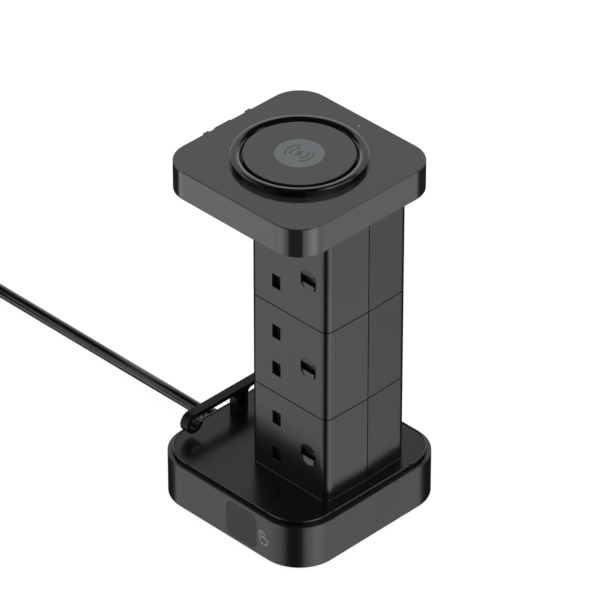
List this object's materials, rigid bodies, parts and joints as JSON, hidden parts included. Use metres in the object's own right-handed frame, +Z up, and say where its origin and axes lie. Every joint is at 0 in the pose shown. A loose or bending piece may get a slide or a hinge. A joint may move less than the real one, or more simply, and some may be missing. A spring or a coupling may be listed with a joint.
{
  "type": "tower power strip",
  "caption": "Tower power strip: square lit base with cable rail, two-sided socket stack and a head with a wireless charging pad.",
  "frame": {"origin": "on the floor under the middle of the square base", "axes": "+Z up, sockets face -Y and +Y, the cord leaves through the -X wall, the tower stands towards +X"},
  "size_m": [0.3887, 0.1733, 0.205],
  "materials": {
    "satin_black": "moulded, fine even grain, satin",
    "deck_black": "moulded, semi-gloss",
    "gloss_black": "polished piano black",
    "touch_black": "smooth window, semi-gloss",
    "patch_grey": "printed grey film",
    "rubber_black": "soft matt rubber",
    "cord_black": "smooth PVC sheath",
    "inner_grey": "moulded, matt",
    "shutter_black": "moulded, matt",
    "brass": "stamped strip",
    "steel": "zinc plated",
    "board_green": "circuit board with solder mask",
    "copper": "enamelled winding",
    "ferrite": "pressed ferrite",
    "clear_pipe": "clear light pipe"
  },
  "bodies": {
    "frame": {"base_shell": "satin_black", "base_bottom": "satin_black", "base_feet": "rubber_black", "base_screws": "steel", "light_ring": "gloss_black", "base_deck": "deck_black", "touch_panel": "touch_black", "touch_board": "board_green", "light_board": "board_green", "supply_board": "board_green", "cord_relief": "rubber_black", "cord_clamp": "inner_grey", "clamp_screws": "steel", "cable_rail": "deck_black", "rail_screw": "steel", "front_shell_low": "satin_black", "front_shell_mid": "satin_black", "front_shell_top": "satin_black", "rear_shell_low": "satin_black", "rear_shell_mid": "satin_black", "rear_shell_top": "satin_black", "socket_frame_low": "inner_grey", "socket_frame_mid": "inner_grey", "socket_frame_top": "inner_grey", "live_bar": "brass", "neutral_bar": "brass", "earth_bar": "brass", "tower_rods": "steel", "front_spring_low": "steel", "front_spring_mid": "steel", "front_spring_top": "steel", "rear_spring_low": "steel", "rear_spring_mid": "steel", "rear_spring_top": "steel", "head_shell": "satin_black", "head_bottom": "satin_black", "head_screws": "steel", "pad_ring": "gloss_black", "pad_disc": "satin_black", "pad_patch": "patch_grey", "charge_winding": "copper", "ferrite_disc": "ferrite", "charger_board": "board_green", "indicator_pipe": "clear_pipe", "switch_housing": "gloss_black", "cord_run": "cord_black", "cord_coil": "cord_black", "cord_tail": "cord_black", "cord_tie": "rubber_black", "plug_body": "satin_black", "plug_pins": "brass", "fuse_carrier": "inner_grey"},
    "front_shutter_low": {"front_shutter_low": "shutter_black"},
    "front_shutter_mid": {"front_shutter_mid": "shutter_black"},
    "front_shutter_top": {"front_shutter_top": "shutter_black"},
    "rear_shutter_low": {"rear_shutter_low": "shutter_black"},
    "rear_shutter_mid": {"rear_shutter_mid": "shutter_black"},
    "rear_shutter_top": {"rear_shutter_top": "shutter_black"},
    "rocker": {"switch_rocker": "gloss_black"}
  },
  "joints": [
    {"name": "front_shutter_low_slide", "type": "slide", "parent": "frame", "child": "front_shutter_low", "axis": [0, 0, -1], "range_m": [0, 0.0075], "stiffness_N_per_m": 100, "springref_m": -0.006, "deforming": ["front_spring_low"]},
    {"name": "front_shutter_mid_slide", "type": "slide", "parent": "frame", "child": "front_shutter_mid", "axis": [0, 0, -1], "range_m": [0, 0.0075], "stiffness_N_per_m": 100, "springref_m": -0.006, "deforming": ["front_spring_mid"]},
    {"name": "front_shutter_top_slide", "type": "slide", "parent": "frame", "child": "front_shutter_top", "axis": [0, 0, -1], "range_m": [0, 0.0075], "stiffness_N_per_m": 100, "springref_m": -0.006, "deforming": ["front_spring_top"]},
    {"name": "rear_shutter_low_slide", "type": "slide", "parent": "frame", "child": "rear_shutter_low", "axis": [0, 0, -1], "range_m": [0, 0.0075], "stiffness_N_per_m": 100, "springref_m": -0.006, "deforming": ["rear_spring_low"]},
    {"name": "rear_shutter_mid_slide", "type": "slide", "parent": "frame", "child": "rear_shutter_mid", "axis": [0, 0, -1], "range_m": [0, 0.0075], "stiffness_N_per_m": 100, "springref_m": -0.006, "deforming": ["rear_spring_mid"]},
    {"name": "rear_shutter_top_slide", "type": "slide", "parent": "frame", "child": "rear_shutter_top", "axis": [0, 0, -1], "range_m": [0, 0.0075], "stiffness_N_per_m": 100, "springref_m": -0.006, "deforming": ["rear_spring_top"]},
    {"name": "rocker_hinge", "type": "hinge", "parent": "frame", "child": "rocker", "pos_m": [-0.0458, -0.00475, 0.1932], "axis": [0, 1, 0], "range_deg": [0, 16]}
  ]
}
